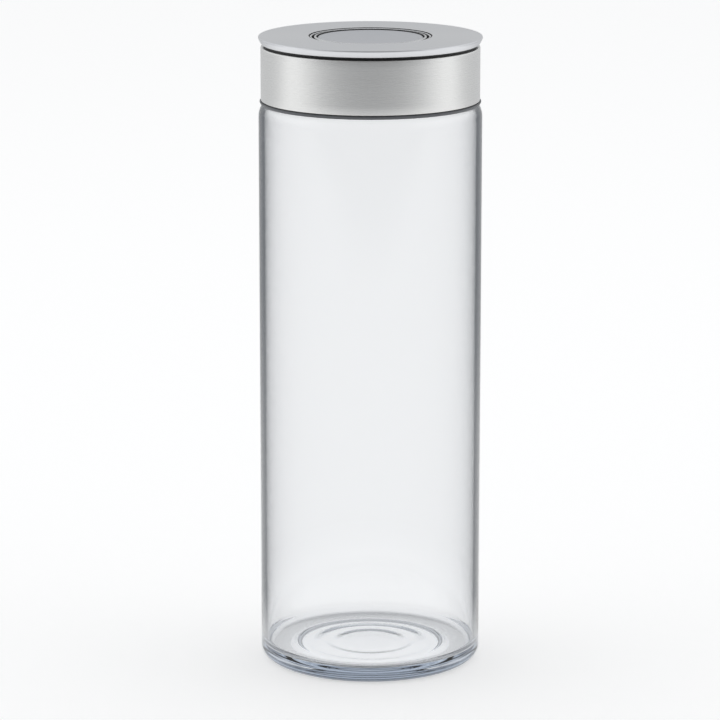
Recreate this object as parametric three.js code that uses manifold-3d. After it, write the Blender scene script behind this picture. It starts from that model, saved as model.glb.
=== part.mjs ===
// Lidded glass storage canister with a pop-up button lid.
// Millimetres, +Z up, origin on the resting plane at the centre of the jar's base.
// The lid is shown closed, with its button latched down.

import * as THREE from 'three';
import { mergeVertices } from 'three/addons/utils/BufferGeometryUtils.js';
import Module from 'manifold-3d';

const wasm = await Module();
wasm.setup();

// ---- driving dimensions -------------------------------------------------------------------

// fits
const seatGap = 0.3; // between pieces that rest on, or lie round, each other
const slideGap = 0.6; // round a piece that slides
const stopGap = 0.3; // left at the end of a stroke

// jar
const bodyDiameter = 97;
const bodyHeight = 242.6; // resting plane to the start of the shoulder
const bodyWall = 2.4;
const baseThickness = 6.6;
const baseCornerRadius = 5.25; // outside, at the foot
const floorCornerRadius = 4; // inside
const puntRadius = 30.8; // pushed-up middle of the underside
const puntDepth = 2.2;
const puntEdge = 1.4; // rise of the underside at the edge of its raised middle
const floorCrown = 0.6; // rise of the floor's middle above its edge
const footInnerRadius = 36; // inner edge of the flat ring it stands on
const shoulderRadius = 9;
const neckInset = 4.5; // from the body's side to the neck's
const neckWall = 2.3;
const neckLength = 17.6; // from the end of the shoulder to the rim

// steel outside of the lid
const collarInset = 1; // from the body's side to the collar's
const collarHeight = 23.3;
const collarSheet = 0.6;
const collarLip = 1.5; // width of the band's turned-in top edge
const collarTopRound = 0.5;
const collarFootRound = 0.3;
const shadowGap = 1.3; // between the collar and the top plate
const plateOverhang = 1; // of the plate beyond the collar
const plateRimHeight = 3.1;
const plateRimTaper = 1.1; // the rim draws in by this towards its lower edge
const plateEdgeRound = 1.2;
const plateSheet = 0.8;
const plateHoleRound = 1.4; // rolled edge round the button
const plateHoleLand = 0.5; // straight end of the rolled edge

// grey ring on the shoulder
const gasketHeight = 1.3;
const gasketProud = 0.5; // beyond the collar
const gasketTaper = 0.5;
const gasketWebRise = 1.4; // behind the collar's foot, above the bead
const gasketTongueHeight = 2.6; // above the web
const gasketRise = 5.6; // its foot above the start of the shoulder
const gasketEdge = 0.4;

// housing
const skirtWall = 1.1;
const deckThickness = 2;
const plugWall = 1.6;
const guideWall = 1.6;
const wiperHeight = 1.2;
const wiperEdge = 0.2;
const wiperGroove = 0.9; // depth
const postWall = 0.9;
const postFloor = 1.8;
const postMerge = 0.3; // how far a post runs into the guide's wall
const bondThickness = 0.4;

// plug
const plugGap = 0.4; // between the plug and the neck's bore
const plugBaseThickness = 1.8;
const plugBaseDrop = 2.4; // plug base's underside below the neck's start
const plugBaseRound = 0.6;
const bossHeight = 3;
const sealHeight = 4.7;
const sealFootWidth = 1.6;
const sealLedge = 0.5; // lip on the plug base that holds the seal's foot
const sealLedgeHeight = 1;
const sealLipHeight = 2;

// button
const buttonRadius = 24.65;
const buttonGap = 0.35; // round the button
const buttonSink = 0.2; // edge of the button below the plate's top
const buttonDish = 0.4; // its middle below its edge
const bezelWidth = 1.35;
const bezelHeight = 3;
const discThickness = 1;
const discSink = 0.3; // disc's edge below the bezel's top
const bezelOuterRound = 0.5;
const bezelInnerRound = 0.3;
const buttonBondInset = 1;
const plungerTop = 2;
const plungerWall = 1.8;
const popUp = 9; // rise of the button when it is released
const overPress = 1; // extra press that frees the latch
const driverPlate = 2;
const driverHub = 3;
const driverRimWall = 1.6;
const driverRimHeight = 3;
const driverCone = 0.7; // narrowing of the rim's cone towards its foot
const driverBossRadius = 2.8;
const driverBossHeight = 8;
const driverHole = 13; // radius of the hole that the spring stands in

// spring and latch
const springWire = 1.2;
const springRadius = 10.6;
const springTurns = 5;
const springSeatHeight = 1.6;
const springSeatWall = 1.2;
const camWidth = 7;
const camThickness = 3;
const camGroove = 1.2;
const camTailHeight = 1.2; // below the track
const camSocketDepth = 4;
const camSocketWall = 1;
const wireDiameter = 0.9;
const wireOffset = 3.5; // the wire's shank in front of the cam's face
const wireBend = 1.4;
const wireSocketRadius = 1.7;
const wireSocketHeight = 3;
const heartHalfWidth = 1;
const heartHeight = 4;

// screws
const screwShank = 1; // radius
const screwHead = 2; // radius
const screwHeadHeight = 1.6;
const screwPoint = 0.8;
const coverScrewLength = 4.6;
const coverScrews = 4;
const driverScrewLength = 6;
const driverScrews = 3;

// facets
const ringSides = 40;
const postSides = 24;
const screwSides = 12;

// how far a joined shape sinks into its neighbour, or a cut runs past a face
const joint = 0.5;

// ---- sizes that follow --------------------------------------------------------------------

const bodyR = bodyDiameter / 2;
const shoulderCentreR = bodyR - shoulderRadius;
const neckR = bodyR - neckInset;
const boreR = neckR - neckWall;
const neckStart = bodyHeight + Math.sqrt(shoulderRadius ** 2 - (neckR - shoulderCentreR) ** 2);
const rimTop = neckStart + neckLength;

const collarR = bodyR - collarInset;
const collarBoreR = collarR - collarSheet;
const skirtR = collarBoreR - seatGap;
const skirtBoreR = skirtR - skirtWall;
const gasketR = collarR + gasketProud;
const gasketBottom = bodyHeight + gasketRise;
const gasketTop = gasketBottom + gasketHeight;
const gasketWebTop = gasketTop + gasketWebRise;
const skirtBottom = gasketWebTop + seatGap;
const collarBottom = gasketTop + seatGap;
const collarTop = collarBottom + collarHeight;

const plateR = collarR + plateOverhang;
const plateBottom = collarTop + shadowGap;
const plateTop = plateBottom + plateRimHeight;
const holeFoot = plateTop - plateHoleRound - plateHoleLand;
const bondTop = plateTop - plateSheet;
const deckTop = bondTop - bondThickness;
const deckBottom = deckTop - deckThickness;
const deckR = collarR - collarLip - seatGap;
const collarShelf = collarTop - collarSheet;

const guideR = buttonRadius + buttonGap;
const guideOuterR = guideR + guideWall;
const postRadius = screwHead + seatGap + postWall;
const postCircle = guideOuterR + postRadius - postMerge;
const plugOuterR = boreR - plugGap;
const plugBoreR = plugOuterR - plugWall;

const plugBaseBottom = neckStart - plugBaseDrop;
const plugBaseTop = plugBaseBottom + plugBaseThickness;
const bossTop = plugBaseTop + bossHeight;
const sealBottom = plugBaseTop + seatGap;
const sealTop = sealBottom + sealHeight;
const plugWallBottom = sealTop + seatGap;
const sealFootR = plugOuterR - sealLedge - seatGap;
const sealBoreTopR = sealFootR - sealFootWidth;
const sealBoreFootR = sealBoreTopR - driverCone;

const driverBottom = plugBaseTop + overPress + stopGap;
const driverTop = driverBottom + driverPlate;
const hubTop = driverBottom + driverHub;
const guideBottom = driverTop + popUp + stopGap;
const driverRimR = sealBoreTopR - seatGap;

const buttonEdge = plateTop - buttonSink;
const discR = buttonRadius - bezelWidth - seatGap;
const discBottom = buttonEdge - discSink - discThickness;
const plungerPlateau = discBottom - bondThickness;
const bezelBottom = buttonEdge - bezelHeight;
const plungerCeiling = plungerPlateau - plungerTop;
const plungerR = guideR - slideGap;
const plungerBoreR = plungerR - plungerWall;

const camTop = plungerCeiling;
const camBottom = driverBottom;
const camHalf = camThickness / 2;
const tipZ = camBottom + camTailHeight + popUp + wireDiameter;
const wireY = -camHalf - wireOffset;

// ---- making solids ------------------------------------------------------------------------

// A closed ring or turned piece from its half section, a list of [radius, height] that runs
// anticlockwise: out along the bottom, up the outside, in along the top.
function turned(section, sides = ringSides) {
  const points = section.map(([r, z]) => new THREE.Vector2(r, z));
  const onAxis = section[0][0] === 0 && section.at(-1)[0] === 0;
  if (!onAxis) points.push(points[0].clone());
  const geometry = new THREE.LatheGeometry(points, sides);
  geometry.rotateX(Math.PI / 2);
  return geometry;
}

// Points on an arc of the half section, from one angle to another, in degrees.
function arc(centreR, centreZ, radius, from, to, steps) {
  const points = [];
  for (let i = 0; i <= steps; i += 1) {
    const angle = THREE.MathUtils.degToRad(from + ((to - from) * i) / steps);
    points.push([centreR + radius * Math.cos(angle), centreZ + radius * Math.sin(angle)]);
  }
  return points;
}

// A plain cylinder between two heights, at a place in plan.
function rod(radius, bottom, top, x = 0, y = 0, sides = postSides) {
  const geometry = new THREE.CylinderGeometry(radius, radius, top - bottom, sides);
  geometry.rotateX(Math.PI / 2);
  geometry.translate(x, y, (bottom + top) / 2);
  return geometry;
}

// A block between two heights, with its middle at a place in plan.
function block(width, depth, bottom, top, x = 0, y = 0) {
  const geometry = new THREE.BoxGeometry(width, depth, top - bottom);
  geometry.translate(x, y, (bottom + top) / 2);
  return geometry;
}

function toSolid(geometry) {
  const bare = geometry.clone();
  bare.deleteAttribute('normal');
  bare.deleteAttribute('uv');
  const merged = mergeVertices(bare, 1e-4);
  const vertProperties = new Float32Array(merged.attributes.position.array);
  const corners = merged.index.array;
  const triVerts = [];
  for (let i = 0; i < corners.length; i += 3) {
    const [a, b, c] = [corners[i], corners[i + 1], corners[i + 2]];
    if (a !== b && b !== c && c !== a) triVerts.push(a, b, c);
  }
  const mesh = new wasm.Mesh({ numProp: 3, vertProperties, triVerts: new Uint32Array(triVerts) });
  return new wasm.Manifold(mesh);
}

function toGeometry(solid) {
  const { vertProperties, triVerts } = solid.getMesh();
  const geometry = new THREE.BufferGeometry();
  geometry.setAttribute('position', new THREE.BufferAttribute(vertProperties, 3));
  geometry.setIndex(new THREE.BufferAttribute(triVerts, 1));
  geometry.computeVertexNormals();
  return geometry;
}

// The first shape with others joined to it and then others cut from it.
function shaped(base, joined, cut) {
  let solid = toSolid(base);
  for (const geometry of joined) solid = solid.add(toSolid(geometry));
  for (const geometry of cut) solid = solid.subtract(toSolid(geometry));
  return toGeometry(solid);
}

// Places round a circle in plan.
function around(count, radius, firstDegrees = 0) {
  const places = [];
  for (let i = 0; i < count; i += 1) {
    const angle = THREE.MathUtils.degToRad(firstDegrees + (360 * i) / count);
    places.push([radius * Math.cos(angle), radius * Math.sin(angle)]);
  }
  return places;
}

const canister = new THREE.Group();

function addPiece(name, geometry, color, roughness, metalness, extra = {}) {
  const material = new THREE.MeshStandardMaterial({ color, roughness, metalness, ...extra });
  const mesh = new THREE.Mesh(geometry, material);
  mesh.name = name;
  canister.add(mesh);
}

const steel = [0xb9bcc0, 0.34, 1];
const blackPlastic = [0x17181a, 0.5, 0];
const greySilicone = [0x6b6e74, 0.6, 0];
const whitePlastic = [0xdcdddb, 0.45, 0];
const springSteel = [0xa2a5a8, 0.3, 1];

// ---- jar ----------------------------------------------------------------------------------

// One thick-based glass jar: pushed-up underside, flat ring to stand on, rounded foot,
// straight wall, shoulder, and a neck with a rounded rim.
function makeJar() {
  const wallBoreR = bodyR - bodyWall;
  const innerShoulder = shoulderRadius - bodyWall;
  const outerEnd = THREE.MathUtils.radToDeg(Math.acos((neckR - shoulderCentreR) / shoulderRadius));
  const innerEnd = THREE.MathUtils.radToDeg(Math.acos((boreR - shoulderCentreR) / innerShoulder));
  const rimRadius = neckWall / 2;
  const floorCornerR = wallBoreR - floorCornerRadius;
  const floorCornerZ = baseThickness + floorCornerRadius;
  return turned([
    [0, puntDepth],
    [puntRadius, puntEdge],
    [footInnerRadius, 0],
    ...arc(bodyR - baseCornerRadius, baseCornerRadius, baseCornerRadius, -90, 0, 5),
    ...arc(shoulderCentreR, bodyHeight, shoulderRadius, 0, outerEnd, 5),
    ...arc(neckR - rimRadius, rimTop - rimRadius, rimRadius, 0, 180, 5),
    ...arc(shoulderCentreR, bodyHeight, innerShoulder, innerEnd, 0, 4),
    ...arc(floorCornerR, floorCornerZ, floorCornerRadius, 0, -90, 5),
    [0, baseThickness + floorCrown],
  ]);
}
addPiece('glass_jar', makeJar(), 0xdfe6ea, 0.05, 0, { transparent: true, opacity: 0.35 });

// ---- lid: outside -------------------------------------------------------------------------

// Grey silicone ring: a visible bead that follows the shoulder, a web that climbs over the
// shoulder behind the collar's foot, and a tongue gripped between the skirt and the neck.
function makeShoulderGasket() {
  const reach = shoulderRadius + seatGap;
  const angleAt = (height) => THREE.MathUtils.radToDeg(Math.asin((height - bodyHeight) / reach));
  const tongueBoreR = neckR + seatGap;
  const tongueR = skirtBoreR - seatGap;
  const tongueAngle = THREE.MathUtils.radToDeg(Math.acos((tongueBoreR - shoulderCentreR) / reach));
  return turned([
    [gasketR - gasketTaper, gasketBottom],
    [gasketR, gasketTop - gasketEdge],
    [gasketR - gasketEdge / 2, gasketTop],
    [skirtR, gasketTop],
    [skirtR, gasketWebTop],
    [tongueR, gasketWebTop],
    [tongueR, gasketWebTop + gasketTongueHeight],
    [tongueBoreR, gasketWebTop + gasketTongueHeight],
    ...arc(shoulderCentreR, bodyHeight, reach, tongueAngle, angleAt(gasketBottom), 4),
  ]);
}
addPiece('shoulder_gasket', makeShoulderGasket(), ...greySilicone);

// Rolled steel band, its top edge turned in over the housing's shelf.
function makeCollarBand() {
  return turned([
    [collarBoreR, collarBottom],
    [collarR - collarFootRound, collarBottom],
    [collarR, collarBottom + collarFootRound],
    [collarR, collarTop - collarTopRound],
    [collarR - collarTopRound, collarTop],
    [collarR - collarLip, collarTop],
    [collarR - collarLip, collarShelf],
    [collarBoreR, collarShelf],
  ]);
}
addPiece('collar_band', makeCollarBand(), ...steel);

// Pressed steel plate: rounded edge, rim drawn in towards its foot, rolled edge at the hole.
function makeTopPlate() {
  const rimFootR = plateR - plateRimTaper;
  const holeOuterR = guideR + plateHoleRound;
  return turned([
    [rimFootR - plateSheet, plateBottom],
    [rimFootR, plateBottom],
    ...arc(plateR - plateEdgeRound, plateTop - plateEdgeRound, plateEdgeRound, 0, 90, 3),
    ...arc(holeOuterR, plateTop - plateHoleRound, plateHoleRound, 90, 180, 3),
    [guideR, holeFoot],
    [guideR + plateSheet, holeFoot],
    [holeOuterR, bondTop],
    [plateR - plateEdgeRound, bondTop],
  ]);
}
addPiece('top_plate', makeTopPlate(), ...steel);

// Foam mounting ring between the plate and the deck.
const bondInnerR = guideR + plateHoleRound + seatGap;
function makePlateBond() {
  return turned([
    [bondInnerR, deckTop],
    [deckR, deckTop],
    [deckR, bondTop],
    [bondInnerR, bondTop],
  ]);
}
addPiece('plate_bond', makePlateBond(), 0x2a2a2c, 0.9, 0);

// ---- lid: housing -------------------------------------------------------------------------

// Black moulding: deck, outer skirt, plug wall and button guide in one, with four hollow
// screw posts against the guide.
const wiperMiddle = guideBottom + (deckBottom - guideBottom) * 0.45;
const guideTop = holeFoot - seatGap;
const postPlaces = around(coverScrews, postCircle, 45);
const pilotR = screwShank + seatGap;

function makeHousing() {
  const grooveHalf = wiperHeight / 2 + seatGap;
  const shell = turned([
    [skirtBoreR, skirtBottom],
    [skirtR, skirtBottom],
    [skirtR, collarShelf],
    [deckR, collarShelf],
    [deckR, deckTop],
    [bondInnerR, deckTop],
    [bondInnerR, guideTop],
    [guideR, guideTop],
    [guideR, wiperMiddle + grooveHalf],
    [guideR + wiperGroove, wiperMiddle + grooveHalf],
    [guideR + wiperGroove, wiperMiddle - grooveHalf],
    [guideR, wiperMiddle - grooveHalf],
    [guideR, guideBottom],
    [guideOuterR, guideBottom],
    [guideOuterR, deckBottom],
    [plugBoreR, deckBottom],
    [plugBoreR, plugWallBottom],
    [plugOuterR, plugWallBottom],
    [plugOuterR, deckBottom],
    [skirtBoreR, deckBottom],
  ]);
  const posts = postPlaces.map(([x, y]) => rod(postRadius, bossTop, deckBottom + joint, x, y));
  const bores = postPlaces.map(([x, y]) =>
    rod(postRadius - postWall, bossTop + postFloor, deckTop + joint, x, y));
  const pilots = postPlaces.map(([x, y]) =>
    rod(pilotR, bossTop - joint, bossTop + postFloor + joint, x, y, screwSides));
  return shaped(shell, posts, [...bores, ...pilots]);
}
addPiece('lid_housing', makeHousing(), ...blackPlastic);

// Wiper ring in the guide's groove.
function makeWiperRing() {
  const half = wiperHeight / 2;
  const innerR = plungerR + seatGap;
  const outerR = guideR + wiperGroove - seatGap;
  return turned([
    [innerR + wiperEdge, wiperMiddle - half],
    [outerR, wiperMiddle - half],
    [outerR, wiperMiddle + half],
    [innerR + wiperEdge, wiperMiddle + half],
    [innerR, wiperMiddle],
  ]);
}
addPiece('wiper_ring', makeWiperRing(), ...greySilicone);

// ---- lid: plug ----------------------------------------------------------------------------

// Moulded cover under the plug: a disc with a lip for the seal's foot, bosses for the screws,
// a ring that centres the spring, and a socket for the latch wire.
const springSeatR = springRadius - springWire / 2 - slideGap;
function makePlugBase() {
  const lipR = plugOuterR - sealLedge;
  const disc = turned([
    [0, plugBaseBottom],
    [plugOuterR - plugBaseRound, plugBaseBottom],
    [plugOuterR, plugBaseBottom + plugBaseRound],
    [plugOuterR, plugBaseTop + sealLedgeHeight],
    [lipR, plugBaseTop + sealLedgeHeight],
    [lipR, plugBaseTop],
    [springSeatR, plugBaseTop],
    [springSeatR, plugBaseTop + springSeatHeight],
    [springSeatR - springSeatWall, plugBaseTop + springSeatHeight],
    [springSeatR - springSeatWall, plugBaseTop],
    [0, plugBaseTop],
  ]);
  const bosses = postPlaces.map(([x, y]) => rod(postRadius, plugBaseTop - joint, bossTop, x, y));
  const socketTop = plugBaseTop + wireSocketHeight;
  const socket = rod(wireSocketRadius, plugBaseTop - joint, socketTop, 0, wireY);
  const pilotFoot = bossTop + postFloor - coverScrewLength - seatGap;
  const pilots = postPlaces.map(([x, y]) =>
    rod(pilotR, pilotFoot, bossTop + joint, x, y, screwSides));
  const wireHoleR = wireDiameter / 2 + seatGap;
  const wireHole = rod(wireHoleR, plugBaseTop, socketTop + joint, 0, wireY, screwSides);
  return shaped(disc, [...bosses, socket], [...pilots, wireHole]);
}
addPiece('plug_base', makePlugBase(), ...whitePlastic);

// Silicone seal: a foot on the plug base, a lip that reaches the bore, and a conical inner
// face that the driver backs.
function makeMouthSeal() {
  const lipR = boreR - seatGap;
  const lipMiddle = sealBottom + sealHeight * 0.6;
  return turned([
    [sealBoreFootR, sealBottom],
    [sealFootR, sealBottom],
    [sealFootR, lipMiddle - sealLipHeight],
    [lipR, lipMiddle - sealLipHeight / 4],
    [lipR, lipMiddle + sealLipHeight / 4],
    [sealFootR, lipMiddle + sealLipHeight * 0.8],
    [sealFootR, sealTop],
    [sealBoreTopR, sealTop],
  ]);
}
addPiece('mouth_seal', makeMouthSeal(), 0xc9cbcd, 0.6, 0);

// A pan-head screw that points down, its head's underside at a height.
function makeScrew(headSeat, length, x, y) {
  const geometry = turned([
    [0, headSeat - length],
    [screwShank, headSeat - length + screwPoint],
    [screwShank, headSeat],
    [screwHead, headSeat],
    [screwHead, headSeat + screwHeadHeight * 0.7],
    [screwHead * 0.6, headSeat + screwHeadHeight],
    [0, headSeat + screwHeadHeight],
  ], screwSides);
  geometry.translate(x, y, 0);
  return geometry;
}
postPlaces.forEach(([x, y], i) => {
  const screw = makeScrew(bossTop + postFloor, coverScrewLength, x, y);
  addPiece(`cover_screw_${i + 1}`, screw, ...springSteel);
});

// ---- button -------------------------------------------------------------------------------

// Turned steel ring with a rounded top, round the plunger's raised middle.
function makeButtonBezel() {
  const innerR = discR + seatGap;
  return turned([
    [innerR, bezelBottom],
    [buttonRadius, bezelBottom],
    [buttonRadius, buttonEdge - bezelOuterRound],
    [buttonRadius - bezelOuterRound, buttonEdge],
    [innerR + bezelInnerRound, buttonEdge],
    [innerR, buttonEdge - bezelInnerRound],
  ]);
}
addPiece('button_bezel', makeButtonBezel(), ...steel);

// Dished steel disc.
function makeButtonDisc() {
  const dishTop = discBottom + discThickness;
  return turned([
    [0, discBottom],
    [discR, discBottom],
    [discR, dishTop],
    [discR * 0.7, dishTop - buttonDish * 0.55],
    [discR * 0.35, dishTop - buttonDish * 0.9],
    [0, dishTop - buttonDish],
  ]);
}
addPiece('button_disc', makeButtonDisc(), ...steel);

// Foam disc that bonds the steel disc to the plunger.
addPiece('button_bond', turned([
  [0, plungerPlateau],
  [discR - buttonBondInset, plungerPlateau],
  [discR - buttonBondInset, discBottom],
  [0, discBottom],
]), 0x2a2a2c, 0.9, 0);

// Moulded cup: raised middle for the disc, ledge for the bezel, skirt that slides in the
// guide, three bosses for the driver's screws, and a socket for the heart cam.
const driverPlaces = around(driverScrews, plungerBoreR - driverBossRadius + joint, 90);
function makePlunger() {
  const cup = turned([
    [plungerBoreR, hubTop],
    [plungerR, hubTop],
    [plungerR, bezelBottom],
    [discR, bezelBottom],
    [discR, plungerPlateau],
    [0, plungerPlateau],
    [0, plungerCeiling],
    [plungerBoreR, plungerCeiling],
  ]);
  const bosses = driverPlaces.map(([x, y]) =>
    rod(driverBossRadius, hubTop, hubTop + driverBossHeight, x, y));
  const pilotEnd = driverBottom + screwHeadHeight + driverScrewLength + seatGap;
  const pilots = driverPlaces.map(([x, y]) =>
    rod(pilotR, hubTop - joint, pilotEnd, x, y, screwSides));
  const socketFoot = camTop - camSocketDepth;
  const space = 2 * seatGap;
  const wall = space + 2 * camSocketWall;
  const socket = block(camWidth + wall, camThickness + wall, socketFoot, camTop + joint);
  const pocket = block(camWidth + space, camThickness + space, socketFoot - joint, camTop);
  return shaped(cup, [...bosses, socket], [...pilots, pocket]);
}
addPiece('plunger', makePlunger(), ...blackPlastic);

// Moulded ring-plate under the plunger, its conical rim behind the seal, with holes that
// clear the posts and the spring.
function makeSealDriver() {
  const footR = driverRimR - driverCone;
  const rimTopZ = driverTop + driverRimHeight;
  const plate = turned([
    [driverHole, driverBottom],
    [footR, driverBottom],
    [driverRimR, rimTopZ],
    [driverRimR - driverRimWall, rimTopZ],
    [footR - driverRimWall, driverTop],
    [plungerR, driverTop],
    [plungerR, hubTop],
    [driverHole, hubTop],
  ]);
  const holes = postPlaces.map(([x, y]) => rod(postRadius + slideGap, driverBottom - joint, rimTopZ, x, y));
  const bores = driverPlaces.map(([x, y]) =>
    rod(pilotR, driverBottom - joint, hubTop + joint, x, y, screwSides));
  const sinks = driverPlaces.map(([x, y]) =>
    rod(screwHead + seatGap, driverBottom - joint, driverBottom + screwHeadHeight, x, y));
  return shaped(plate, [], [...holes, ...bores, ...sinks]);
}
addPiece('seal_driver', makeSealDriver(), ...whitePlastic);

driverPlaces.forEach(([x, y], i) => {
  const screw = makeScrew(0, driverScrewLength, 0, 0);
  screw.rotateX(Math.PI);
  screw.translate(x, y, driverBottom + screwHeadHeight);
  addPiece(`driver_screw_${i + 1}`, screw, ...springSteel);
});

// Block with the heart-shaped track of the latch: the wire's tip goes up one side of the
// heart, rests in the notch at its top, and comes back down the other side.
function makeHeartCam() {
  const body = block(camWidth, camThickness, camBottom, camTop);
  const lane = wireDiameter / 2 + seatGap;
  const trackHalf = heartHalfWidth + 2 * lane;
  const track = new THREE.Shape();
  track.moveTo(-lane, tipZ - popUp - lane);
  track.lineTo(lane, tipZ - popUp - lane);
  track.lineTo(trackHalf, tipZ - heartHeight - lane);
  track.lineTo(trackHalf, tipZ + overPress + lane);
  track.lineTo(-trackHalf, tipZ + overPress + lane);
  track.lineTo(-trackHalf, tipZ - heartHeight - lane);
  const heart = new THREE.Path();
  const notch = tipZ - lane;
  const ears = notch + heartHalfWidth;
  const flanks = tipZ - heartHeight + heartHalfWidth;
  heart.moveTo(0, notch);
  heart.lineTo(-heartHalfWidth, ears);
  heart.lineTo(-heartHalfWidth, flanks);
  heart.lineTo(0, tipZ - heartHeight);
  heart.lineTo(heartHalfWidth, flanks);
  heart.lineTo(heartHalfWidth, ears);
  track.holes.push(heart);
  const groove = new THREE.ExtrudeGeometry(track, { depth: camGroove + joint, bevelEnabled: false });
  groove.rotateX(Math.PI / 2);
  groove.translate(0, -camHalf + camGroove, 0);
  return shaped(body, [], [groove]);
}
addPiece('heart_cam', makeHeartCam(), 0xe8e6df, 0.4, 0);

// Sprung wire: foot in the plug base's socket, straight shank, tip bent into the track.
function makeLatchWire() {
  const route = new THREE.CurvePath();
  const foot = new THREE.Vector3(0, wireY, plugBaseTop + seatGap);
  const bendStart = new THREE.Vector3(0, wireY, tipZ - wireBend);
  const corner = new THREE.Vector3(0, wireY, tipZ);
  const bendEnd = new THREE.Vector3(0, wireY + wireBend, tipZ);
  const tip = new THREE.Vector3(0, -camHalf + camGroove - seatGap, tipZ);
  route.add(new THREE.LineCurve3(foot, bendStart));
  route.add(new THREE.QuadraticBezierCurve3(bendStart, corner, bendEnd));
  route.add(new THREE.LineCurve3(bendEnd, tip));
  const section = new THREE.Shape();
  section.absarc(0, 0, wireDiameter / 2, 0, 2 * Math.PI, false);
  return new THREE.ExtrudeGeometry(section, { extrudePath: route, steps: 18, curveSegments: 3 });
}
addPiece('latch_wire', makeLatchWire(), ...springSteel);

// Coil spring between the plug base and the plunger's ceiling.
class Helix extends THREE.Curve {
  constructor(radius, bottom, top, turns) {
    super();
    Object.assign(this, { radius, bottom, top, turns });
  }

  getPoint(t, target = new THREE.Vector3()) {
    const angle = 2 * Math.PI * this.turns * t;
    const height = this.bottom + (this.top - this.bottom) * t;
    return target.set(this.radius * Math.cos(angle), this.radius * Math.sin(angle), height);
  }
}

function makeReturnSpring() {
  const half = springWire / 2 + seatGap;
  const path = new Helix(springRadius, plugBaseTop + half, plungerCeiling - half, springTurns);
  const section = new THREE.Shape();
  section.absarc(0, 0, springWire / 2, 0, 2 * Math.PI, false);
  const steps = springTurns * 13;
  return new THREE.ExtrudeGeometry(section, { extrudePath: path, steps, curveSegments: 3 });
}
addPiece('return_spring', makeReturnSpring(), ...springSteel);

export default canister;
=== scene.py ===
"""A lidded glass storage canister with a brushed steel lid and a pop-up push button.

The sections follow the canister as it is put together: the room it is shown in, the jar,
the lid from its housing outwards, the plug with its seal, then the button and its latch.
Sizes are in millimetres and are turned into metres where a mesh is made.
"""
import math

import bpy
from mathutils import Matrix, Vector


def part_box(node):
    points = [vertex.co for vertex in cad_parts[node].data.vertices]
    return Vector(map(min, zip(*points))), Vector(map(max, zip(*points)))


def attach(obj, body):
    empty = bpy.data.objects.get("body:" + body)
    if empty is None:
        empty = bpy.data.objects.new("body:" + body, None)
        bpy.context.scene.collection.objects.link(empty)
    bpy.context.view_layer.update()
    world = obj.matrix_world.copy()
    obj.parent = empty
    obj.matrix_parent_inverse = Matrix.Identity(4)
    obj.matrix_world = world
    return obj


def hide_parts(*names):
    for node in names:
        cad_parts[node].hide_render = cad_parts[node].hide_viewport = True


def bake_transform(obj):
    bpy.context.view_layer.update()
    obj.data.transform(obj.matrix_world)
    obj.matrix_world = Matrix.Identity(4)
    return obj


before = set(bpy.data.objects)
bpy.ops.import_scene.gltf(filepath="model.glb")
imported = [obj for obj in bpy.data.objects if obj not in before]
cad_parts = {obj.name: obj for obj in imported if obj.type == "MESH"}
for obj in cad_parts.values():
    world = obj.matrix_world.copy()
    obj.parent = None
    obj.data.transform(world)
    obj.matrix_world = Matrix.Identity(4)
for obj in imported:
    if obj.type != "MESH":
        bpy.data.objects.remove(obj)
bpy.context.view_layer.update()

MM = 0.001


# ---- Room ---------------------------------------------------------------------------------
# A pale seamless floor, a soft white surround and one large softbox overhead, as in a small
# product studio. The camera looks slightly down, from about a metre and a half. The floor
# glows brighter just under the jar: painted light in the jar's shadow. Floor and surround are
# painted dark grey where they are seen mirrored: painted reflections that give the glass its
# outline and the steel its contrast. Only mirrored light meets that grey.
# Lengths in this section are metres.
floor_size = 16.0
floor_white = 0.88
floor_glow = 0.45
# painted light: extra floor glow under the jar, where its shadow falls
painted_light_under_jar = 0.35
painted_light_reach = (0.030, 0.046)
# painted reflection: the dark grey that mirrored light sees on the floor and surround
painted_reflection_grey = (0.05, 0.06, 0.075)
painted_edge_reflection_reach = (0.0, 0.13)
back_painted_reflection = 0.4
back_painted_reflection_reach = (0.1, 0.8)
front_painted_reflection = 0.8
front_painted_reflection_reach = (-1.25, -0.82)
surround_strength = 0.95
overhead_dimming = 0.5
overhead_reach = (0.5, 0.9)
surround_painted_reflection_reach = (0.05, 0.3)
surround_greys = (
    (0.0, 0.22), (0.06, 0.26), (0.16, 0.44), (0.30, 0.80), (0.42, 1.0),
    (0.58, 1.0), (0.80, 0.86), (1.0, 0.62))
softbox_place = (0.0, 0.5, 1.8)
softbox_aim = (0.0, 0.0, 0.15)
softbox_size = 1.4
softbox_power = 2.2
camera_place = (0.0, -1.590, 0.4915)
camera_target = (-0.0045, 0.0, 0.1340)
camera_lens = 185.2


def link(tree, out_node, out_name, in_node, in_name):
    tree.links.new(out_node.outputs[out_name], in_node.inputs[in_name])


def ramp_between(tree, source, output, limits, values):
    """A smooth step of a node's output, from one value to another between two limits."""
    step = tree.nodes.new("ShaderNodeMapRange")
    step.interpolation_type = "SMOOTHSTEP"
    step.inputs["From Min"].default_value, step.inputs["From Max"].default_value = limits
    step.inputs["To Min"].default_value, step.inputs["To Max"].default_value = values
    link(tree, source, output, step, "Value")
    return step


def product(tree, first, first_output, second, second_output):
    times = tree.nodes.new("ShaderNodeMath")
    times.operation = "MULTIPLY"
    link(tree, first, first_output, times, 0)
    link(tree, second, second_output, times, 1)
    return times


def at_least_once(tree, kind):
    """1 for light that has been mirrored, or has passed into glass, at least once."""
    path = tree.nodes.new("ShaderNodeLightPath")
    return ramp_between(tree, path, kind + " Depth", (0.4, 0.6), (0, 1))


def mirrored_in_glass(tree):
    """1 for light that has passed into glass and been mirrored there, as along the jar's sides."""
    mirrored = at_least_once(tree, "Glossy")
    entered = at_least_once(tree, "Transmission")
    return product(tree, mirrored, "Result", entered, "Result")


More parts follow.
